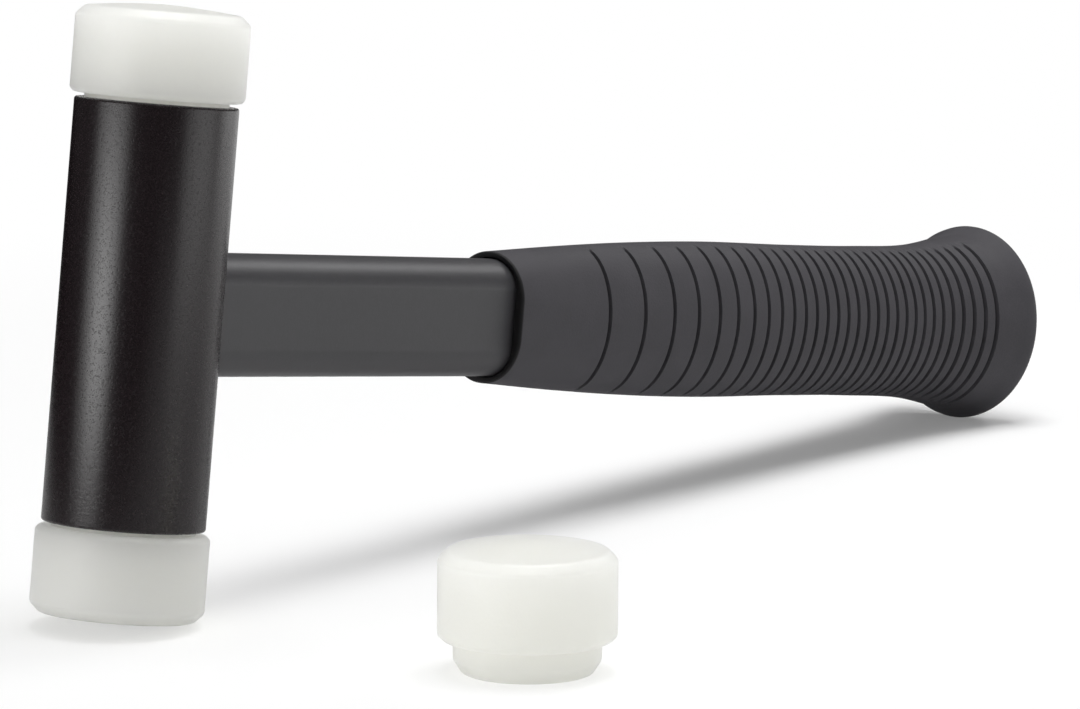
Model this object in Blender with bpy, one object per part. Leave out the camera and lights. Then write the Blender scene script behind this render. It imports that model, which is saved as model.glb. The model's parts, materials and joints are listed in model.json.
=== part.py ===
"""Dead blow hammer: a steel tube half full of steel shot, on a welded handle tube with a rubber grip.

It stands as it was put down, leaning on the rim of its lower face insert and on the butt of its grip,
with one spare face insert beside it. Metres, +Z up, the handle along +X, the origin on the floor under
the middle of the set.
"""

import bmesh
import bpy
import numpy as np
from math import asin, atan2, cos, floor, hypot, pi, radians, sin, sqrt
from mathutils import Vector

# Gap left between pieces that touch on the real hammer
SEAT_GAP = 0.0003

# Head tube, its axis along the tool's own Z
HEAD_TUBE_DIAMETER = 0.0282
HEAD_TUBE_WALL = 0.0014
HEAD_TUBE_LENGTH = 0.0726
HEAD_TUBE_EDGE = 0.0005

# Face inserts, pressed into both ends of the head tube
FACE_OVERHANG = 0.0009
FACE_HEIGHT = 0.0149
FACE_CHAMFER = 0.0016
FACE_CROWN = 0.001
FACE_CROWN_POWER = 1.6
FACE_BACK_CHAMFER = 0.0007
SPIGOT_LENGTH = 0.0056
SPIGOT_TAPER_LENGTH = 0.0022
SPIGOT_TAPER_DEPTH = 0.0014
NECK_GAP = 0.0007

# Pressed cups that close the shot chamber and stop the spigots
PLUG_HEIGHT = 0.004
PLUG_WALL = 0.0012
PLUG_FLOOR = 0.0015

# Steel shot, in layers of one ring each round a middle column
SHOT_PER_RING = 6
SHOT_LAYERS = 4

# Handle tube, flat-sided oval, its axis along the tool's own X
HANDLE_HEIGHT = 0.0215
HANDLE_WIDTH = 0.0125
HANDLE_WALL = 0.0015

# Rubber grip
GRIP_START = 0.0989
GRIP_LENGTH = 0.1655
BUTT_ROUNDING = 0.003
BUTT_SOLID = 0.018
LIP_ROUNDING = 0.0006
LIP_FLAT_SHARE = 0.65

# Rubber over the handle's narrow sides and beside its flat sides, from the collar to the butt's rim
GRIP_COVER = (
    (0.00, 0.0015, 0.0020),
    (0.13, 0.0026, 0.0025),
    (0.25, 0.0035, 0.0033),
    (0.41, 0.0041, 0.0039),
    (0.60, 0.0039, 0.0041),
    (0.74, 0.0040, 0.0049),
    (0.88, 0.0048, 0.0062),
    (0.95, 0.0064, 0.0086),
    (0.975, 0.0071, 0.0097),
    (1.00, 0.0086, 0.0108),
)

# Grooves across the grip's flat sides, wide apart near the collar and close together at the butt
GROOVE_FIRST = 0.027
GROOVE_FIRST_PITCH = 0.0107
GROOVE_LAST_PITCH = 0.00312
GROOVE_PITCH_RATIO = 0.785
GROOVE_WIDTH = 0.0011
GROOVE_DEPTH = 0.0011
GROOVE_TO_RIM = 0.0075
GROOVE_FULL_HEIGHT_SHARE = 0.88
GROOVE_GONE_HEIGHT_SHARE = 0.975

# Where the spare insert stands, measured from the lower face's contact with the floor
SPARE_ALONG = 0.0007
SPARE_ACROSS = -0.0771

# Facets
ROUND_STEPS = 48
PLUG_STEPS = 36
OVAL_STEPS = 32
CROWN_STEPS = 4
LIP_STEPS = 4
FLARE_STEPS = 8
ROUNDING_STEPS = 4
LONGEST_GRIP_STEP = 0.008
SHARP_ANGLE = radians(32)
MERGE_DISTANCE = 1e-7

# Sizes that follow from the ones above
BORE_RADIUS = HEAD_TUBE_DIAMETER / 2 - HEAD_TUBE_WALL
FACE_RADIUS = HEAD_TUBE_DIAMETER / 2 + FACE_OVERHANG
FACE_RIM_RADIUS = FACE_RADIUS - FACE_CHAMFER
FACE_BACK = HEAD_TUBE_LENGTH / 2 + NECK_GAP
FACE_FRONT = FACE_BACK + FACE_HEIGHT
SPIGOT_RADIUS = BORE_RADIUS - SEAT_GAP
PLUG_RADIUS = BORE_RADIUS - SEAT_GAP
PLUG_BACK = FACE_BACK - SPIGOT_LENGTH - SEAT_GAP
CHAMBER_HALF = PLUG_BACK - PLUG_HEIGHT
SHOT_RING_SINE = sin(pi / SHOT_PER_RING)
SHOT_DIAMETER = (2 * (BORE_RADIUS - SEAT_GAP) * SHOT_RING_SINE - SEAT_GAP) / (1 + SHOT_RING_SINE)
GRIP_RIM = GRIP_LENGTH - BUTT_ROUNDING
SOCKET_END = GRIP_START + GRIP_LENGTH - BUTT_SOLID
HANDLE_END = SOCKET_END - SEAT_GAP


# Scene and materials

def clear_scene():
    for obj in list(bpy.data.objects):
        bpy.data.objects.remove(obj)


def finish(name, color, roughness, metallic=0.0, subsurface=0.0):
    material = bpy.data.materials.new(name)
    material.use_nodes = True
    shader = material.node_tree.nodes["Principled BSDF"]
    shader.inputs["Base Color"].default_value = (*color, 1.0)
    shader.inputs["Roughness"].default_value = roughness
    shader.inputs["Metallic"].default_value = metallic
    shader.inputs["Subsurface Weight"].default_value = subsurface
    return material


def make_mesh(name, bm, material):
    """Closes a bmesh into a smooth-shaded mesh with its faces pointing out."""
    bmesh.ops.remove_doubles(bm, verts=bm.verts, dist=MERGE_DISTANCE)
    bmesh.ops.recalc_face_normals(bm, faces=bm.faces)
    mesh = bpy.data.meshes.new(name)
    bm.to_mesh(mesh)
    bm.free()
    mesh.materials.append(material)
    mesh.shade_smooth()
    mesh.set_sharp_from_angle(angle=SHARP_ANGLE)
    return mesh


def place(name, mesh, parent=None, location=(0, 0, 0), rotation=(0, 0, 0)):
    obj = bpy.data.objects.new(name, mesh)
    bpy.context.scene.collection.objects.link(obj)
    obj.parent = parent
    obj.location = location
    obj.rotation_euler = rotation
    return obj


# Turned pieces

def turned(name, outline, steps, material, closed=False):
    """Spins (radius, height) points round Z. A closed outline makes a ring, an open one starts and ends on the axis."""
    bm = bmesh.new()
    points = [bm.verts.new((radius, 0, height)) for radius, height in outline]
    edges = [bm.edges.new(pair) for pair in zip(points, points[1:])]
    if closed:
        edges.append(bm.edges.new((points[-1], points[0])))
    bmesh.ops.spin(
        bm, geom=points + edges, axis=(0, 0, 1), cent=(0, 0, 0), angle=2 * pi, steps=steps, use_merge=True
    )
    return make_mesh(name, bm, material)


def head_tube_mesh(material):
    outer = HEAD_TUBE_DIAMETER / 2
    top = HEAD_TUBE_LENGTH / 2
    outline = [
        (BORE_RADIUS, top),
        (outer - HEAD_TUBE_EDGE, top),
        (outer, top - HEAD_TUBE_EDGE),
        (outer, HEAD_TUBE_EDGE - top),
        (outer - HEAD_TUBE_EDGE, -top),
        (BORE_RADIUS, -top),
    ]
    return turned("head_tube", outline, ROUND_STEPS, material, closed=True)


def face_insert_mesh(material):
    """A face insert standing on its spigot, with its shoulder at height 0 and its crowned face up."""
    outline = []
    for step in range(CROWN_STEPS + 1):
        share = step / CROWN_STEPS
        outline.append((FACE_RIM_RADIUS * share, FACE_HEIGHT + FACE_CROWN * (1 - share**FACE_CROWN_POWER)))
    outline += [
        (FACE_RADIUS, FACE_HEIGHT - FACE_CHAMFER),
        (FACE_RADIUS, FACE_BACK_CHAMFER),
        (FACE_RADIUS - FACE_BACK_CHAMFER, 0),
        (SPIGOT_RADIUS, 0),
        (SPIGOT_RADIUS, SPIGOT_TAPER_LENGTH - SPIGOT_LENGTH),
        (SPIGOT_RADIUS - SPIGOT_TAPER_DEPTH, -SPIGOT_LENGTH),
        (0, -SPIGOT_LENGTH),
    ]
    return turned("face_insert", outline, ROUND_STEPS, material)


def shot_plug_mesh(material):
    """A cup with its floor at the bottom and its rim up."""
    inside = PLUG_RADIUS - PLUG_WALL
    outline = [
        (0, PLUG_FLOOR),
        (inside, PLUG_FLOOR),
        (inside, PLUG_HEIGHT),
        (PLUG_RADIUS, PLUG_HEIGHT),
        (PLUG_RADIUS, 0),
        (0, 0),
    ]
    return turned("shot_plug", outline, PLUG_STEPS, material)


# Shot packing

def shot_places():
    """Centres of the balls: rings along the wall, each turned against the last, round a middle column."""
    spacing = SHOT_DIAMETER + SEAT_GAP
    ring_radius = BORE_RADIUS - SEAT_GAP - SHOT_DIAMETER / 2
    offset = 2 * ring_radius * sin(pi / SHOT_PER_RING / 2)
    layer_pitch = sqrt(spacing**2 - offset**2)
    lowest = spacing - SHOT_DIAMETER / 2 - CHAMBER_HALF
    for layer in range(SHOT_LAYERS):
        for step in range(SHOT_PER_RING):
            angle = 2 * pi * (step + layer / 2) / SHOT_PER_RING
            yield ring_radius * cos(angle), ring_radius * sin(angle), lowest + layer * layer_pitch
    for step in range(1 + floor((SHOT_LAYERS - 1) * layer_pitch / spacing)):
        yield 0, 0, lowest + step * spacing


def shot_ball_mesh(material):
    bm = bmesh.new()
    bmesh.ops.create_icosphere(bm, subdivisions=2, radius=SHOT_DIAMETER / 2)
    return make_mesh("shot_ball", bm, material)


# Lofted pieces along the handle

def ring_angles():
    return (2 * pi * (step + 0.5) / OVAL_STEPS for step in range(OVAL_STEPS))


def flat_oval(place_x, cover):
    """A ring of the handle's flat-sided oval, grown outwards by cover."""
    radius = HANDLE_WIDTH / 2 + cover
    straight = (HANDLE_HEIGHT - HANDLE_WIDTH) / 2
    ring = []
    for step in range(OVAL_STEPS):
        upper = step < OVAL_STEPS / 2
        turn = pi * (step % (OVAL_STEPS // 2)) / (OVAL_STEPS // 2 - 1)
        angle = turn if upper else turn + pi
        ring.append((place_x, radius * cos(angle), radius * sin(angle) + (straight if upper else -straight)))
    return ring


def loft(bm, rings, closed=False):
    """Skins rings of points in order and caps the ends, or joins the last ring to the first."""
    loops = [[bm.verts.new(point) for point in ring] for ring in rings]
    pairs = list(zip(loops, loops[1:]))
    if closed:
        pairs.append((loops[-1], loops[0]))
    for near, far in pairs:
        sides = zip(near, near[1:] + near[:1], far[1:] + far[:1], far)
        for corners in sides:
            bm.faces.new(corners)
    if not closed:
        bm.faces.new(loops[0])
        bm.faces.new(loops[-1])


def handle_tube_mesh(material):
    """The oval tube from inside the head tube's place, which the cope then cuts away, to its end in the grip."""
    bm = bmesh.new()
    start = BORE_RADIUS / 2
    rings = [
        flat_oval(start, 0),
        flat_oval(HANDLE_END, 0),
        flat_oval(HANDLE_END, -HANDLE_WALL),
        flat_oval(start, -HANDLE_WALL),
    ]
    loft(bm, rings, closed=True)
    return make_mesh("handle_tube", bm, material)


def cope_cutter_mesh(material):
    """A cylinder a seat's gap larger than the head tube, and taller than the handle."""
    bm = bmesh.new()
    radius = HEAD_TUBE_DIAMETER / 2 + SEAT_GAP
    bmesh.ops.create_cone(
        bm, cap_ends=True, segments=2 * ROUND_STEPS, radius1=radius, radius2=radius, depth=2 * HANDLE_HEIGHT
    )
    return make_mesh("cope_cutter", bm, material)


# The grip's moulded shape

def cover_at(distance):
    """Rubber over and beside the handle at a distance from the collar, on a smooth curve, level at the butt's rim."""
    stations = np.array(GRIP_COVER)
    shares, covers = stations[:, 0], stations[:, 1:]
    slopes = np.gradient(covers, shares, axis=0)
    slopes[-1] = 0
    share = min(max(distance / GRIP_RIM, 0.0), 1.0)
    last = len(shares) - 2
    step = min(int(np.searchsorted(shares, share, side="right")) - 1, last)
    width = shares[step + 1] - shares[step]
    t = (share - shares[step]) / width
    start = (2 * t**3 - 3 * t**2 + 1) * covers[step] + (t**3 - 2 * t**2 + t) * width * slopes[step]
    end = (3 * t**2 - 2 * t**3) * covers[step + 1] + (t**3 - t**2) * width * slopes[step + 1]
    return start + end


def groove_fade(height_share):
    """1 on the flat sides, falling smoothly to 0 before the smooth bands along the top and the bottom."""
    t = (GROOVE_GONE_HEIGHT_SHARE - abs(height_share)) / (GROOVE_GONE_HEIGHT_SHARE - GROOVE_FULL_HEIGHT_SHARE)
    t = min(max(t, 0.0), 1.0)
    return t * t * (3 - 2 * t)


def grip_ring(distance, depth=0.0, inset=0.0):
    """An elliptical ring of the grip, cut in by a groove's depth, and inset at the butt's rounding."""
    over, beside = cover_at(distance) - inset
    high = HANDLE_HEIGHT / 2 + over
    wide = HANDLE_WIDTH / 2 + beside
    ring = []
    for angle in ring_angles():
        point = Vector((wide * cos(angle), high * sin(angle)))
        inward = Vector((cos(angle) / wide, sin(angle) / high)).normalized()
        point -= inward * depth * groove_fade(sin(angle))
        ring.append((GRIP_START + distance, point.x, point.y))
    return ring


def lip_ring(turn):
    """A ring of the collar's rounded edge, which grows from its flat front to the grip's ellipse."""
    socket = flat_oval(GRIP_START, SEAT_GAP)
    full = grip_ring(LIP_ROUNDING)
    share = LIP_FLAT_SHARE + (1 - LIP_FLAT_SHARE) * sin(turn)
    back = LIP_ROUNDING * (1 - cos(turn))
    return [
        (GRIP_START + back, near[1] + (far[1] - near[1]) * share, near[2] + (far[2] - near[2]) * share)
        for near, far in zip(socket, full)
    ]


def groove_places():
    places = []
    distance = GROOVE_FIRST
    pitch = GROOVE_FIRST_PITCH
    while distance <= GRIP_RIM - GROOVE_TO_RIM:
        places.append(distance)
        distance += pitch
        pitch = GROOVE_LAST_PITCH + (pitch - GROOVE_LAST_PITCH) * GROOVE_PITCH_RATIO
    return places


def plain_places(start, end):
    """Places between two others, close enough together for the grip's curve."""
    count = 1 + floor((end - start) / LONGEST_GRIP_STEP)
    return [start + (end - start) * step / count for step in range(1, count)]


def grip_rings():
    """Rings from the socket's blind end, out at the collar's lip, along the grooves and over the butt."""
    rings = [flat_oval(SOCKET_END, SEAT_GAP), flat_oval(GRIP_START + LIP_ROUNDING / 2, SEAT_GAP)]
    rings += [lip_ring(pi / 2 * step / LIP_STEPS) for step in range(LIP_STEPS + 1)]
    last = LIP_ROUNDING
    for groove in groove_places():
        start = groove - GROOVE_WIDTH / 2
        rings += [grip_ring(distance) for distance in plain_places(last, start)]
        last = groove + GROOVE_WIDTH / 2
        rings += [grip_ring(start), grip_ring(groove, depth=GROOVE_DEPTH), grip_ring(last)]
    rings += [grip_ring(last + (GRIP_RIM - last) * step / FLARE_STEPS) for step in range(1, FLARE_STEPS + 1)]
    for step in range(1, ROUNDING_STEPS + 1):
        turn = pi / 2 * step / ROUNDING_STEPS
        ring = grip_ring(GRIP_RIM, inset=BUTT_ROUNDING * (1 - cos(turn)))
        shift = BUTT_ROUNDING * sin(turn)
        rings.append([(x + shift, y, z) for x, y, z in ring])
    return rings


def grip_mesh(material):
    bm = bmesh.new()
    loft(bm, grip_rings())
    return make_mesh("grip", bm, material)


# How the hammer rests

def rest_lean():
    """(lean, height of the head's middle, reach of the contact): on the lower face's rim and the butt's rounding."""
    butt_over = cover_at(GRIP_RIM)[0]
    across = GRIP_START + GRIP_RIM - FACE_RIM_RADIUS
    up = FACE_FRONT - (HANDLE_HEIGHT / 2 + butt_over - BUTT_ROUNDING)
    lean = atan2(up, across) - asin(BUTT_ROUNDING / hypot(up, across))
    height = FACE_RIM_RADIUS * sin(lean) + FACE_FRONT * cos(lean)
    reach = FACE_RIM_RADIUS * cos(lean) - FACE_FRONT * sin(lean)
    return lean, height, reach


def stand_on_origin(root):
    """Moves the whole set so that its box stands on the floor with the origin under its middle."""
    bpy.context.view_layer.update()
    corners = np.array([
        obj.matrix_world @ vertex.co
        for obj in bpy.data.objects
        if obj.type == "MESH" and not obj.hide_render
        for vertex in obj.data.vertices
    ])
    low, high = corners.min(axis=0), corners.max(axis=0)
    root.location = (-(low[0] + high[0]) / 2, -(low[1] + high[1]) / 2, -low[2])


# Assembly

def build():
    clear_scene()
    black_steel = finish("black_steel", (0.018, 0.017, 0.017), 0.42, metallic=0.2)
    grey_steel = finish("grey_steel", (0.075, 0.076, 0.078), 0.5, metallic=0.2)
    plain_steel = finish("plain_steel", (0.42, 0.42, 0.43), 0.35, metallic=1.0)
    shot_steel = finish("shot_steel", (0.5, 0.5, 0.51), 0.25, metallic=1.0)
    white_nylon = finish("white_nylon", (0.78, 0.78, 0.74), 0.4, subsurface=0.3)
    dark_rubber = finish("dark_rubber", (0.055, 0.055, 0.057), 0.65)

    lean, height, reach = rest_lean()
    root = place("set", None)
    hammer = place("hammer", None, root, (0, 0, height), (0, lean, 0))

    place("head_tube", head_tube_mesh(black_steel), hammer)
    handle = place("handle_tube", handle_tube_mesh(grey_steel), hammer)
    place("grip", grip_mesh(dark_rubber), hammer)

    cutter = place("cope_cutter", cope_cutter_mesh(grey_steel), hammer)
    cutter.hide_render = True
    cutter.display_type = "WIRE"
    cope = handle.modifiers.new("cope", "BOOLEAN")
    cope.operation = "DIFFERENCE"
    cope.object = cutter

    plug = shot_plug_mesh(plain_steel)
    insert = face_insert_mesh(white_nylon)
    upside_down = (0, pi, 0)
    place("upper_shot_plug", plug, hammer, (0, 0, CHAMBER_HALF))
    place("lower_shot_plug", plug, hammer, (0, 0, -CHAMBER_HALF), upside_down)
    place("upper_face_insert", insert, hammer, (0, 0, FACE_BACK))
    place("lower_face_insert", insert, hammer, (0, 0, -FACE_BACK), upside_down)
    place("spare_face_insert", insert, root, (reach + SPARE_ALONG, SPARE_ACROSS, SPIGOT_LENGTH))

    charge = place("shot_charge", None, hammer)
    ball = shot_ball_mesh(shot_steel)
    for number, centre in enumerate(shot_places(), start=1):
        place(f"shot_ball_{number:02d}", ball, charge, centre)

    stand_on_origin(root)


build()
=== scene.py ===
"""Looks of the dead blow hammer and its spare face insert: meshes, finishes, floor, light and camera."""

import json
from math import atan2, cos, hypot, pi, radians, sin, sqrt

import bmesh
import bpy
import numpy as np
from mathutils import Matrix, Vector


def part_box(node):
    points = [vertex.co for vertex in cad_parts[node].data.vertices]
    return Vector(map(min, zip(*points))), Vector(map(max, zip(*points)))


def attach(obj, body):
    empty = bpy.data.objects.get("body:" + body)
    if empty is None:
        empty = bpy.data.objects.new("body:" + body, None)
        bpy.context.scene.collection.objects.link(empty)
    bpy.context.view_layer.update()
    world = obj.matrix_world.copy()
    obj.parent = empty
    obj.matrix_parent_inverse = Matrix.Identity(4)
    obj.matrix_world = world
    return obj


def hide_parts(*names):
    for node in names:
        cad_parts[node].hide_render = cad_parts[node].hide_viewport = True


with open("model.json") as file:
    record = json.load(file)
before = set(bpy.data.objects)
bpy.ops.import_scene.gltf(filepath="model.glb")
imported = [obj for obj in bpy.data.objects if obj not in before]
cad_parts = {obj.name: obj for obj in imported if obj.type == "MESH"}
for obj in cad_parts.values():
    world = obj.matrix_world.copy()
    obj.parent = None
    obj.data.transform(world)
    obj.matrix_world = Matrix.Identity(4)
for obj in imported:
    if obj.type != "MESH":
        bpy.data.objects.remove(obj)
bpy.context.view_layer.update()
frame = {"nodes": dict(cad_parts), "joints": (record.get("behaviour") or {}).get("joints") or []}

# Sizes of the hammer, in metres and radians, in its own axes: the head along Z, the handle along X
SEAT_GAP = 0.0003
TUBE_RADIUS = 0.0141
BORE_RADIUS = 0.0127
TUBE_HALF = 0.0363
TUBE_EDGE = 0.0005
BORE_EDGE = 0.0002
FACE_RADIUS = 0.015
FACE_RIM_RADIUS = 0.0134
FACE_HEIGHT = 0.0149
FACE_CHAMFER = 0.0016
FACE_CROWN = 0.001
FACE_CROWN_POWER = 1.6
FACE_EDGE = 0.0005
FACE_BACK_CHAMFER = 0.0007
FACE_BACK_EDGE = 0.0003
FACE_BACK = 0.037
SPIGOT_RADIUS = BORE_RADIUS - SEAT_GAP
SPIGOT_LENGTH = 0.0056
SPIGOT_TAPER_LENGTH = 0.0022
SPIGOT_TAPER_DEPTH = 0.0014
SPIGOT_EDGE = 0.0004
SPIGOT_FOOT_EDGE = 0.0003
PLUG_RADIUS = BORE_RADIUS - SEAT_GAP
PLUG_HEIGHT = 0.004
PLUG_WALL = 0.0012
PLUG_FLOOR = 0.0015
PLUG_BEND = 0.0006
PLUG_EDGE = 0.0003
CHAMBER_HALF = 0.0271
HANDLE_HEIGHT = 0.0215
HANDLE_WIDTH = 0.0125
HANDLE_WALL = 0.0015
HANDLE_CORNER = 0.0059
HANDLE_EDGE_TURN = radians(8.4)
HANDLE_END = 0.2461
WELD_REACH = 0.0011
WELD_RISE = 0.0006
WELD_CLEAR = 0.00002

# The rubber grip: its collar, its cover over the handle and its grooves
# A row of the cover has the share of the way to the rim, the rubber over the handle and the rubber beside it
GRIP_START = 0.0989
GRIP_RIM = 0.1625
SOCKET_END = HANDLE_END + SEAT_GAP
BUTT_ROUNDING = 0.003
LIP_ROUNDING = 0.0006
LIP_FLAT_SHARE = 0.65
COLLAR_OVAL_SHARE = 0.6
COLLAR_OVAL_LENGTH = 0.024
GRIP_COVER = (
    (0.00, 0.0013, 0.0022),
    (0.13, 0.0026, 0.0025),
    (0.25, 0.0035, 0.0033),
    (0.41, 0.0041, 0.0039),
    (0.60, 0.0039, 0.0041),
    (0.74, 0.0040, 0.0049),
    (0.88, 0.0048, 0.0062),
    (0.95, 0.0064, 0.0086),
    (0.975, 0.0071, 0.0097),
    (1.00, 0.0086, 0.0108),
)
GROOVE_FIRST = 0.027
GROOVE_FIRST_PITCH = 0.0107
GROOVE_LAST_PITCH = 0.00312
GROOVE_PITCH_RATIO = 0.785
GROOVE_WIDTH = 0.0011
GROOVE_DEPTH = 0.0014
GROOVE_WALL_SHARE = 0.3
GROOVE_TO_RIM = 0.0075
GROOVE_FULL_HEIGHT_SHARE = 0.88
GROOVE_GONE_HEIGHT_SHARE = 0.975

# How finely the round pieces are cut, and which points count as one
ROUND_STEPS = 144
CROWN_STEPS = 14
EDGE_SEGMENTS = 5
OVAL_STEPS = 128
WELD_STEPS = 6
LIP_STEPS = 12
BUTT_STEPS = 12
GRIP_STEP = 0.0012
GROOVE_STATIONS = (-1, -0.9, -0.8, -0.7, -0.6, 0, 0.6, 0.7, 0.8, 0.9, 1)
SMOOTH_ANGLE = radians(38)
MERGE_DISTANCE = 1e-7
SAME_PLACE = 1e-6

# Where the hammer stands: the middle of its head and its lean towards the butt
head_low, head_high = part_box("head_tube")
head_axis = next(Vector(joint["axis"]) for joint in frame["joints"] if joint["name"] == "shot_slide")
HEAD_MIDDLE = (head_low + head_high) / 2
LEAN = atan2(head_axis.x, head_axis.z)
HAMMER = Matrix.Translation(HEAD_MIDDLE) @ Matrix.Rotation(LEAN, 4, "Y")

# Half the floor's width, and the way from the set to the backdrop
FLOOR_HALF = 12
BACKDROP_WAY = Vector((0.766, -0.643, 0))

# Where the spare insert's shoulder stands
spare_low, spare_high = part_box("spare_face_insert")
SPARE_SHOULDER = Vector(((spare_low.x + spare_high.x) / 2, (spare_low.y + spare_high.y) / 2, SPIGOT_LENGTH))


# Camera

def set_camera():
    """The photograph's view: a long lens, seen from the head's side, given in the hammer's own axes."""
    turn, tilt, roll = radians(54.16), radians(3.37), radians(-4.75)
    target = Vector((0.11701, 0, -0.00681))
    distance = 1.23642
    ahead = Vector((sin(turn) * cos(tilt), cos(turn) * cos(tilt), -sin(tilt)))
    level_right = Vector((cos(turn), -sin(turn), 0))
    level_down = ahead.cross(level_right)
    right = cos(roll) * level_right + sin(roll) * level_down
    down = cos(roll) * level_down - sin(roll) * level_right
    basis = Matrix((right, -down, -ahead)).transposed().to_4x4()
    data = bpy.data.cameras.new("photo_view")
    data.sensor_width = 36
    data.sensor_fit = "HORIZONTAL"
    data.lens = 223.16
    data.clip_end = 50
    camera = bpy.data.objects.new("photo_view", data)
    camera.matrix_world = HAMMER @ Matrix.Translation(target - distance * ahead) @ basis
    bpy.context.scene.collection.objects.link(camera)
    bpy.context.scene.camera = camera


# Shader writing

class Value:
    """A shader socket that takes part in plain arithmetic."""

    def __init__(self, finish, socket):
        self.finish = finish
        self.socket = socket

    def math(self, operation, first, second):
        return self.finish.node("ShaderNodeMath", {"operation": operation}, {0: first, 1: second})

    def __add__(self, other):
        return self.math("ADD", self, other)

    def __radd__(self, other):
        return self.math("ADD", other, self)

    def __sub__(self, other):
        return self.math("SUBTRACT", self, other)

    def __rsub__(self, other):
        return self.math("SUBTRACT", other, self)

    def __mul__(self, other):
        return self.math("MULTIPLY", self, other)

    def __rmul__(self, other):
        return self.math("MULTIPLY", other, self)


class Finish:
    """A material whose nodes are written as expressions."""

    def __init__(self, name, **constants):
        self.material = bpy.data.materials.new(name)
        self.material.use_nodes = True
        self.tree = self.material.node_tree
        self.shader = self.tree.nodes["Principled BSDF"]
        for socket, value in constants.items():
            self.shader.inputs[socket.replace("_", " ")].default_value = value

    def node(self, kind, settings=None, inputs=None, output=0):
        made = self.tree.nodes.new(kind)
        for setting, value in (settings or {}).items():
            setattr(made, setting, value)
        for socket, value in (inputs or {}).items():
            self.feed(made.inputs[socket], value)
        return Value(self, made.outputs[output])

    def feed(self, socket, value):
        if isinstance(value, Value):
            self.tree.links.new(value.socket, socket)
        else:
            socket.default_value = value

    def place(self, turned_with_hammer=True):
        """Object coordinates in the hammer's own axes, or in the floor's."""
        coordinates = self.node("ShaderNodeTexCoord", output="Object")
        if not turned_with_hammer:
            return coordinates
        inputs = {"Vector": coordinates, "Location": HEAD_MIDDLE, "Rotation": (0, LEAN, 0)}
        return self.node("ShaderNodeMapping", {"vector_type": "TEXTURE"}, inputs)

    def noise(self, place, scale, detail):
        inputs = {"Vector": place, "Scale": scale, "Detail": detail}
        return self.node("ShaderNodeTexNoise", inputs=inputs)

    def fade(self, value, low, high):
        """0 below low, 1 above high and smooth between."""
        inputs = {"Value": value, "From Min": low, "From Max": high}
        return self.node("ShaderNodeMapRange", {"interpolation_type": "SMOOTHSTEP"}, inputs)

    def blend(self, factor, first, second):
        """One colour at 0 and the other at 1, each given as numbers or by other nodes."""
        colours = [colour if isinstance(colour, Value) else (*colour, 1) for colour in (first, second)]
        inputs = {0: factor, 6: colours[0], 7: colours[1]}
        return self.node("ShaderNodeMix", {"data_type": "RGBA"}, inputs, output=2)

    def set(self, **sockets):
        for socket, value in sockets.items():
            self.feed(self.shader.inputs[socket.replace("_", " ")], value)

    def bump(self, height, distance):
        self.set(Normal=self.node("ShaderNodeBump", inputs={"Height": height, "Distance": distance}))


# Finishes

def black_steel():
    """Satin black coating with a fine leathery grain."""
    finish = Finish("black_steel", Specular_IOR_Level=0.46)
    place = finish.place()
    grain = finish.noise(place, 3600, detail=2)
    mottle = finish.noise(place, 1500, detail=3)
    pits = finish.fade(mottle * 0.5 + grain * 0.5, 0.5, 0.68)
    finish.set(
        Base_Color=finish.blend(grain, (0.0105, 0.0066, 0.0078), (0.0125, 0.008, 0.0095)),
        Roughness=0.26 + 0.1 * pits,
    )
    finish.bump(grain - pits, 0.000013)
    return finish.material


def grey_steel():
    """Smooth dark grey coating with a fine grain and a few paler specks."""
    finish = Finish("grey_steel", Specular_IOR_Level=0.46)
    place = finish.place()
    grain = finish.noise(place, 2400, detail=2)
    mottle = finish.noise(place, 700, detail=3)
    tone = finish.fade(grain * 0.5 + mottle * 0.5, 0.34, 0.66)
    specks = finish.fade(grain, 0.66, 0.76)
    coat = finish.blend(tone, (0.042, 0.041, 0.0445), (0.048, 0.047, 0.051))
    finish.set(
        Base_Color=finish.blend(specks, coat, (0.06, 0.059, 0.062)),
        Roughness=0.4 + 0.05 * tone,
    )
    finish.bump(grain + mottle, 0.000012)
    return finish.material


def dark_rubber():
    """Matte moulded rubber with a fine skin, with painted shade in the grooves and on the collar's front
    face.
    """
    finish = Finish("dark_rubber", Specular_IOR_Level=0.25)
    place = finish.place()
    skin = finish.noise(place, 2600, detail=2)
    bloom = finish.noise(place, 160, detail=4)
    along = finish.node("ShaderNodeSeparateXYZ", inputs={0: place})
    # Painted shade on the collar's front face, which faces the head: the rubber turns near black there.
    front_shade = 1 - finish.fade(along, GRIP_START + LIP_ROUNDING / 3, GRIP_START + LIP_ROUNDING)
    tone = finish.fade(bloom * 0.55 + skin * 0.45, 0.34, 0.66)
    hollow = finish.node("ShaderNodeAttribute", {"attribute_name": "hollow"}, output="Fac")
    moulded = finish.blend(tone, (0.051, 0.049, 0.055), (0.0625, 0.06, 0.067))
    # Painted shade in the grooves: the rubber turns near black towards their bottoms.
    groove_shaded = finish.blend(finish.fade(hollow, 0.2, 0.9), moulded, (0.007, 0.0066, 0.0077))
    finish.set(
        Base_Color=finish.blend(front_shade, groove_shaded, (0.012, 0.0116, 0.0125)),
        Roughness=0.58 + 0.12 * tone,
    )
    finish.bump(skin, 0.00005)
    return finish.material


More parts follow.
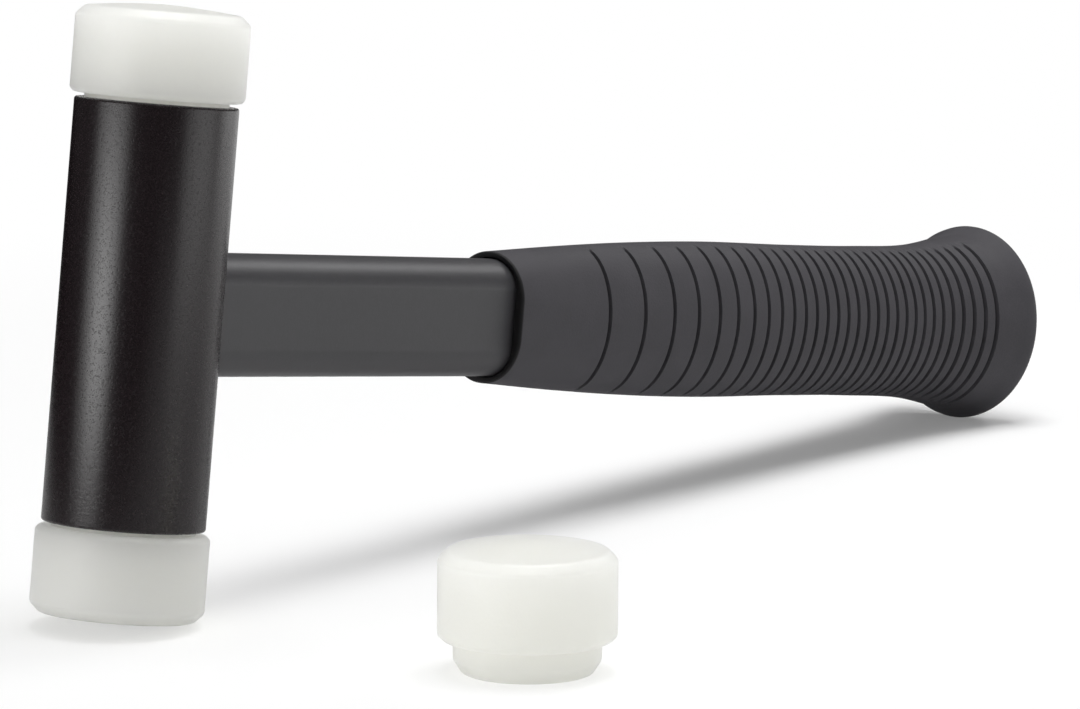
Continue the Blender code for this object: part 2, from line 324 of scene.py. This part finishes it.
def white_nylon():
    """Milky nylon that lets a little light through, with a fine skin."""
    finish = Finish(
        "white_nylon",
        Specular_IOR_Level=0.2,
        Subsurface_Weight=1.0,
        Subsurface_Radius=(1.0, 1.0, 0.97),
        Subsurface_Scale=0.05,
    )
    place = finish.place(turned_with_hammer=False)
    cloud = finish.noise(place, 90, detail=3)
    skin = finish.noise(place, 1500, detail=2)
    finish.set(
        Base_Color=finish.blend(cloud, (0.82, 0.82, 0.73), (0.85, 0.85, 0.76)),
        Roughness=0.32 + 0.1 * skin,
    )
    finish.bump(skin + cloud, 0.00002)
    shade = finish.node("ShaderNodeLightPath", output="Is Shadow Ray")
    body = Value(finish, finish.shader.outputs[0])
    clear = finish.node("ShaderNodeBsdfTransparent")
    surface = finish.node("ShaderNodeMixShader", inputs={0: 0.68 * shade, 1: body, 2: clear})
    finish.feed(finish.tree.nodes["Material Output"].inputs["Surface"], surface)
    return finish.material


def bare_steel(name, shine, grain_scale):
    """Uncoated steel, for the pieces inside the head."""
    finish = Finish(name, Metallic=1.0)
    place = finish.place()
    grain = finish.noise(place, grain_scale, detail=3)
    film = finish.noise(place, 210, detail=3)
    finish.set(
        Base_Color=finish.blend(film, (0.5, 0.5, 0.51), (0.62, 0.62, 0.625)),
        Roughness=shine + 0.18 * grain,
    )
    finish.bump(grain, 0.00003)
    return finish.material


def white_floor():
    """A white sheet under the set that runs out into white.

    Reflections find that white on the backdrop's side alone, and a dark room elsewhere. The sheet throws
    less light back away from the set.
    """
    finish = Finish("white_floor", IOR=1.3)
    place = finish.place(turned_with_hammer=False)
    cloud = finish.noise(place, 3, detail=2)
    reach = finish.node("ShaderNodeVectorMath", {"operation": "LENGTH"}, {0: place}, output="Value")
    ways = {0: place, 1: BACKDROP_WAY}
    depth = finish.node("ShaderNodeVectorMath", {"operation": "DOT_PRODUCT"}, ways, output="Value")
    seen = finish.node("ShaderNodeLightPath", output="Is Camera Ray")
    mirrored = finish.node("ShaderNodeLightPath", output="Is Glossy Ray")
    through = finish.node("ShaderNodeLightPath", output="Is Transmission Ray")
    behind = finish.fade(depth, -0.3, 0.3)
    in_view = seen + (mirrored + through) * behind
    paper = finish.blend(cloud, (0.97, 0.97, 0.97), (0.98, 0.98, 0.98))
    bounce = finish.blend(finish.fade(reach, 0.24, 0.48), (0.93, 0.93, 0.93), (0.7, 0.7, 0.7))
    finish.set(
        Base_Color=finish.blend(seen, bounce, paper),
        Roughness=0.6 + 0.05 * cloud,
    )
    backdrop = finish.node("ShaderNodeEmission", inputs={"Color": (1, 1, 1, 1), "Strength": 1.0})
    sheet = Value(finish, finish.shader.outputs[0])
    along = finish.node("ShaderNodeSeparateXYZ", inputs={0: place})
    head_side = 1 - finish.fade(along, -0.16, 0.06)
    near_glow = 0.16 + 0.38 * head_side
    factor = in_view * (near_glow + (1 - near_glow) * finish.fade(reach, 0.17, 0.42))
    surface = finish.node("ShaderNodeMixShader", inputs={0: factor, 1: sheet, 2: backdrop})
    dark_room = finish.node("ShaderNodeEmission", inputs={"Color": (0, 0, 0, 1), "Strength": 0.0})
    far = finish.fade(reach, 0.16, 0.34)
    past_edge = mirrored * (1 - 0.6 * (1 - far) - behind * far)
    surface = finish.node("ShaderNodeMixShader", inputs={0: past_edge, 1: surface, 2: dark_room})
    finish.feed(finish.tree.nodes["Material Output"].inputs["Surface"], surface)
    return finish.material


# Mesh making

def add_piece(name, bm, placing, material, body, nodes):
    """Merges the mesh's seams, moves it to its place, and puts the piece in for its CAD nodes."""
    bmesh.ops.remove_doubles(bm, verts=bm.verts, dist=MERGE_DISTANCE)
    bmesh.ops.recalc_face_normals(bm, faces=bm.faces)
    bmesh.ops.transform(bm, matrix=placing, verts=bm.verts)
    mesh = bpy.data.meshes.new(name)
    bm.to_mesh(mesh)
    bm.free()
    mesh.materials.append(material)
    mesh.shade_smooth()
    mesh.set_sharp_from_angle(angle=SMOOTH_ANGLE)
    piece = bpy.data.objects.new(name, mesh)
    bpy.context.scene.collection.objects.link(piece)
    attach(piece, body)
    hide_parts(*nodes)


def turned(outline, closed=False):
    """Spins (radius, height, rounding) points round Z and rounds each corner that asks for it."""
    bm = bmesh.new()
    points = [bm.verts.new((radius, 0, height)) for radius, height, rounding in outline]
    edges = [bm.edges.new(pair) for pair in zip(points, points[1:])]
    if closed:
        edges.append(bm.edges.new((points[-1], points[0])))
    bmesh.ops.spin(
        bm,
        geom=points + edges,
        axis=(0, 0, 1),
        cent=(0, 0, 0),
        angle=2 * pi,
        steps=ROUND_STEPS,
        use_merge=True,
    )
    bmesh.ops.remove_doubles(bm, verts=bm.verts, dist=MERGE_DISTANCE)
    for radius, height, rounding in outline:
        if rounding:
            round_ring(bm, radius, height, rounding)
    return bm


def round_ring(bm, radius, height, rounding):
    """Bevels the ring of edges at a radius and a height."""
    def on_ring(vertex):
        off_radius = abs(hypot(vertex.co.x, vertex.co.y) - radius)
        return off_radius < SAME_PLACE and abs(vertex.co.z - height) < SAME_PLACE

    ring = [edge for edge in bm.edges if all(on_ring(vertex) for vertex in edge.verts)]
    bmesh.ops.bevel(
        bm,
        geom=ring,
        offset=rounding,
        offset_type="OFFSET",
        affect="EDGES",
        segments=EDGE_SEGMENTS,
        profile=0.5,
        material=-1,
    )


def quarter_turns(steps):
    return [pi / 2 * step / steps for step in range(steps + 1)]


def lofted(rings, closed=False):
    """Spins a line of one vertex a ring round X, closes the ends and moves every vertex to its ring's shape.

    A ring gives a vertex its place, and how far it lies in a groove, from 0 to 1.
    """
    bm = bmesh.new()
    line = [bm.verts.new((number, 1, 0)) for number in range(len(rings))]
    edges = [bm.edges.new(pair) for pair in zip(line, line[1:])]
    bmesh.ops.spin(
        bm,
        geom=line + edges,
        axis=(1, 0, 0),
        cent=(0, 0, 0),
        angle=2 * pi,
        steps=OVAL_STEPS,
        use_merge=True,
    )
    bmesh.ops.remove_doubles(bm, verts=bm.verts, dist=SAME_PLACE)
    ends = [edge for edge in bm.edges if edge.is_boundary]
    if closed:
        bmesh.ops.bridge_loops(bm, edges=ends)
    else:
        bmesh.ops.holes_fill(bm, edges=ends, sides=0)
    hollow = bm.verts.layers.float.new("hollow")
    for vertex in bm.verts:
        ring = rings[round(vertex.co.x)]
        *place, vertex[hollow] = ring(atan2(vertex.co.z, vertex.co.y))
        vertex.co = place
    return bm


# Head

def head_tube():
    outline = [
        (BORE_RADIUS, TUBE_HALF, BORE_EDGE),
        (TUBE_RADIUS, TUBE_HALF, TUBE_EDGE),
        (TUBE_RADIUS, -TUBE_HALF, TUBE_EDGE),
        (BORE_RADIUS, -TUBE_HALF, BORE_EDGE),
    ]
    return turned(outline, closed=True)


def face_insert():
    """A face insert standing on its spigot, with its shoulder at height 0 and its crowned face up."""
    outline = []
    for step in range(CROWN_STEPS):
        share = step / CROWN_STEPS
        height = FACE_HEIGHT + FACE_CROWN * (1 - share**FACE_CROWN_POWER)
        outline.append((FACE_RIM_RADIUS * share, height, 0))
    outline += [
        (FACE_RIM_RADIUS, FACE_HEIGHT, FACE_EDGE),
        (FACE_RADIUS, FACE_HEIGHT - FACE_CHAMFER, FACE_EDGE),
        (FACE_RADIUS, FACE_BACK_CHAMFER, FACE_BACK_EDGE),
        (FACE_RADIUS - FACE_BACK_CHAMFER, 0, FACE_BACK_EDGE),
        (SPIGOT_RADIUS, 0, 0),
        (SPIGOT_RADIUS, SPIGOT_TAPER_LENGTH - SPIGOT_LENGTH, SPIGOT_EDGE),
        (SPIGOT_RADIUS - SPIGOT_TAPER_DEPTH, -SPIGOT_LENGTH, SPIGOT_FOOT_EDGE),
        (0, -SPIGOT_LENGTH, 0),
    ]
    return turned(outline)


def shot_plug():
    """A pressed cup with its floor at the bottom and its rim up."""
    inside = PLUG_RADIUS - PLUG_WALL
    outline = [
        (0, PLUG_FLOOR, 0),
        (inside, PLUG_FLOOR, PLUG_BEND),
        (inside, PLUG_HEIGHT, PLUG_EDGE),
        (PLUG_RADIUS, PLUG_HEIGHT, PLUG_EDGE),
        (PLUG_RADIUS, 0, PLUG_BEND),
        (0, 0, 0),
    ]
    return turned(outline)


# Handle

def flat_oval(angle, cover):
    """(across, up) on the handle's oval, grown by cover, with a slight edge where each flat side ends."""
    radius = HANDLE_CORNER + cover
    flat = cos(HANDLE_EDGE_TURN)
    side, rise = min(max(cos(angle), -flat), flat), sin(angle)
    across = (HANDLE_WIDTH / 2 - HANDLE_CORNER) * np.sign(round(side, 6)) + radius * side
    up = (HANDLE_HEIGHT / 2 - HANDLE_CORNER) * np.sign(round(rise, 6)) + radius * rise
    return across, up


def oval_ring(place, cover):
    return lambda angle: (place, *flat_oval(angle, cover), 0)


def coped_ring(clear, cover):
    """A ring that lies against the head tube, clear of it by that much."""
    def point(angle):
        across, up = flat_oval(angle, cover)
        return sqrt((TUBE_RADIUS + clear) ** 2 - across**2), across, up, 0

    return point


def weld_rings():
    """A slim concave fillet from the head tube to the handle, under the coating."""
    rings = []
    for turn in quarter_turns(WELD_STEPS):
        clear = WELD_CLEAR + WELD_REACH * (1 - cos(turn))
        rings.append(coped_ring(clear, WELD_RISE * (1 - sin(turn))))
    return rings


def handle_tube():
    rings = [coped_ring(WELD_CLEAR, -HANDLE_WALL)]
    rings += weld_rings()
    rings += [oval_ring(GRIP_START / 2, 0), oval_ring(HANDLE_END, 0), oval_ring(HANDLE_END, -HANDLE_WALL)]
    return lofted(rings, closed=True)


# Grip

def cover_at(distance):
    """Rubber over and beside the handle at a distance from the collar: a smooth curve, level at the rim."""
    stations = np.array(GRIP_COVER)
    shares, covers = stations[:, 0], stations[:, 1:]
    slopes = np.gradient(covers, shares, axis=0)
    slopes[-1] = 0
    share = min(max(distance / GRIP_RIM, 0.0), 1.0)
    step = min(int(np.searchsorted(shares, share, side="right")) - 1, len(shares) - 2)
    width = shares[step + 1] - shares[step]
    t = (share - shares[step]) / width
    start = (2 * t**3 - 3 * t**2 + 1) * covers[step] + (t**3 - 2 * t**2 + t) * width * slopes[step]
    end = (3 * t**2 - 2 * t**3) * covers[step + 1] + (t**3 - t**2) * width * slopes[step + 1]
    return start + end


def smooth(t):
    t = min(max(t, 0.0), 1.0)
    return t * t * (3 - 2 * t)


def groove_fade(height_share):
    """1 on the flat sides, falling smoothly to 0 before the smooth bands along the top and the bottom."""
    fade_height = GROOVE_GONE_HEIGHT_SHARE - GROOVE_FULL_HEIGHT_SHARE
    return smooth((GROOVE_GONE_HEIGHT_SHARE - abs(height_share)) / fade_height)


def grip_ring(distance, depth=0.0, inset=0.0, shift=0.0):
    """A ring of the grip, nearer the handle's oval at the collar and an ellipse beyond.

    A groove cuts its sides by depth, and the butt's rounding draws it in by inset and on by shift.
    """
    over, beside = cover_at(distance) - inset
    high = HANDLE_HEIGHT / 2 + over
    wide = HANDLE_WIDTH / 2 + beside
    oval_share = COLLAR_OVAL_SHARE * smooth(1 - distance / COLLAR_OVAL_LENGTH)

    def point(angle):
        ellipse = Vector((wide * cos(angle), high * sin(angle)))
        across, up = flat_oval(angle, 0)
        oval = Vector((across + beside * cos(angle), up + over * sin(angle)))
        place = ellipse.lerp(oval, oval_share)
        outward = Vector((cos(angle) / wide, sin(angle) / high)).normalized()
        cut = depth * groove_fade(sin(angle))
        place -= outward * cut
        return GRIP_START + distance + shift, place.x, place.y, cut / GROOVE_DEPTH

    return point


def lip_ring(turn):
    """A ring of the collar's rounded edge, which grows from its flat front to the grip's own ring."""
    full = grip_ring(LIP_ROUNDING)
    share = LIP_FLAT_SHARE + (1 - LIP_FLAT_SHARE) * sin(turn)
    back = LIP_ROUNDING * (1 - cos(turn))

    def point(angle):
        near = Vector(flat_oval(angle, SEAT_GAP))
        far = Vector(full(angle)[1:3])
        return GRIP_START + back, *near.lerp(far, share), 0

    return point


def groove_places():
    places = []
    distance = GROOVE_FIRST
    pitch = GROOVE_FIRST_PITCH
    while distance <= GRIP_RIM - GROOVE_TO_RIM:
        places.append(distance)
        distance += pitch
        pitch = GROOVE_LAST_PITCH + (pitch - GROOVE_LAST_PITCH) * GROOVE_PITCH_RATIO
    return places


def groove_rings(groove):
    """Rings across one groove, with steep walls and softened edges."""
    rings = []
    for share in GROOVE_STATIONS:
        depth = GROOVE_DEPTH * smooth((1 - abs(share)) / GROOVE_WALL_SHARE)
        rings.append(grip_ring(groove + GROOVE_WIDTH / 2 * share, depth=depth))
    return rings


def plain_places(start, end):
    count = max(1, round((end - start) / GRIP_STEP))
    return [start + (end - start) * step / count for step in range(1, count)]


def grip():
    """Rings from the socket's blind end, out at the collar's lip, along the grooves and over the butt."""
    half = GROOVE_WIDTH / 2
    rings = [oval_ring(SOCKET_END, SEAT_GAP), oval_ring(GRIP_START + LIP_ROUNDING / 2, SEAT_GAP)]
    rings += [lip_ring(turn) for turn in quarter_turns(LIP_STEPS)]
    last = LIP_ROUNDING
    for groove in groove_places():
        rings += [grip_ring(distance) for distance in plain_places(last, groove - half)]
        rings += groove_rings(groove)
        last = groove + half
    rings += [grip_ring(distance) for distance in plain_places(last, GRIP_RIM)]
    for turn in quarter_turns(BUTT_STEPS):
        inset = BUTT_ROUNDING * (1 - cos(turn))
        rings.append(grip_ring(GRIP_RIM, inset=inset, shift=BUTT_ROUNDING * sin(turn)))
    return lofted(rings)


# The set

def make_set():
    nylon = white_nylon()
    steel = bare_steel("plain_steel", 0.26, 1400)
    upside_down = Matrix.Rotation(pi, 4, "Y")
    add_piece("fine_head_tube", head_tube(), HAMMER, black_steel(), "hammer", ["head_tube"])
    add_piece(
        "fine_handle_tube", handle_tube(), HAMMER, grey_steel(), "hammer", ["handle_tube"]
    )
    add_piece("fine_grip", grip(), HAMMER, dark_rubber(), "hammer", ["grip"])
    for end, turn in (("upper", Matrix()), ("lower", upside_down)):
        place = HAMMER @ turn @ Matrix.Translation((0, 0, FACE_BACK))
        nodes = [f"{end}_face_insert"]
        add_piece(f"fine_{end}_insert", face_insert(), place, nylon, f"{end}_insert", nodes)
        place = HAMMER @ turn @ Matrix.Translation((0, 0, CHAMBER_HALF))
        nodes = [f"{end}_shot_plug"]
        add_piece(f"fine_{end}_plug", shot_plug(), place, steel, "hammer", nodes)
    place = Matrix.Translation(SPARE_SHOULDER)
    nodes = ["spare_face_insert"]
    add_piece("fine_spare_insert", face_insert(), place, nylon, "spare_insert", nodes)
    shot = bare_steel("shot_steel", 0.16, 1800)
    for name, node in frame["nodes"].items():
        if name.startswith("shot_ball"):
            node.data.materials.clear()
            node.data.materials.append(shot)


# Floor and light

def set_floor():
    bm = bmesh.new()
    bmesh.ops.create_grid(bm, x_segments=1, y_segments=1, size=FLOOR_HALF)
    mesh = bpy.data.meshes.new("floor")
    bm.to_mesh(mesh)
    bm.free()
    mesh.materials.append(white_floor())
    floor = bpy.data.objects.new("floor", mesh)
    bpy.context.scene.collection.objects.link(floor)


def add_softbox(name, place, target, size, power, spread=pi):
    data = bpy.data.lights.new(name, "AREA")
    data.shape = "RECTANGLE"
    data.size, data.size_y = size
    data.energy = power
    data.spread = spread
    lamp = bpy.data.objects.new(name, data)
    lamp.location = place
    lamp.rotation_euler = (Vector(target) - Vector(place)).to_track_quat("-Z", "Y").to_euler()
    bpy.context.scene.collection.objects.link(lamp)


def set_light():
    """A wide ceiling, an overhead softbox for the shadow under the handle, and a dim room.

    The lamps at the left, in front and at the right draw the soft bands on head and handle.
    """
    narrow = radians(90)
    add_softbox("ceiling_bounce", (0.0, 0.0, 2.0), (0.0, 0.0, 0.0), (3.0, 3.0), 12.5)
    add_softbox("overhead", (0.1, -0.025, 1.2), (0.0, 0.03, 0.0), (0.62, 0.62), 11.0)
    add_softbox("left_softbox", (-1.04, 0.37, 0.155), (-0.12, 0.04, 0.05), (0.9, 0.44), 0.94, narrow)
    add_softbox("left_core", (-1.07, 0.31, 0.1), (-0.12, 0.04, 0.05), (0.5, 0.22), 0.37, narrow)
    add_softbox("front_softbox", (0.22, -0.95, 0.18), (-0.12, 0.04, 0.05), (0.95, 0.34), 0.44, narrow)
    add_softbox("right_fill", (0.95, -0.38, 0.06), (0.0, 0.0, 0.05), (0.6, 0.12), 0.4)
    add_softbox("right_softbox", (0.91, -0.09, 0.76), (-0.05, 0.04, 0.05), (0.42, 0.3), 2.2)
    world = bpy.data.worlds.new("dim_room")
    world.use_nodes = True
    world.node_tree.nodes["Background"].inputs["Color"].default_value = (1, 1, 1, 1)
    world.node_tree.nodes["Background"].inputs["Strength"].default_value = 0.07
    bpy.context.scene.world = world


set_camera()
make_set()
set_floor()
set_light()
bpy.context.scene.view_settings.view_transform = "Standard"
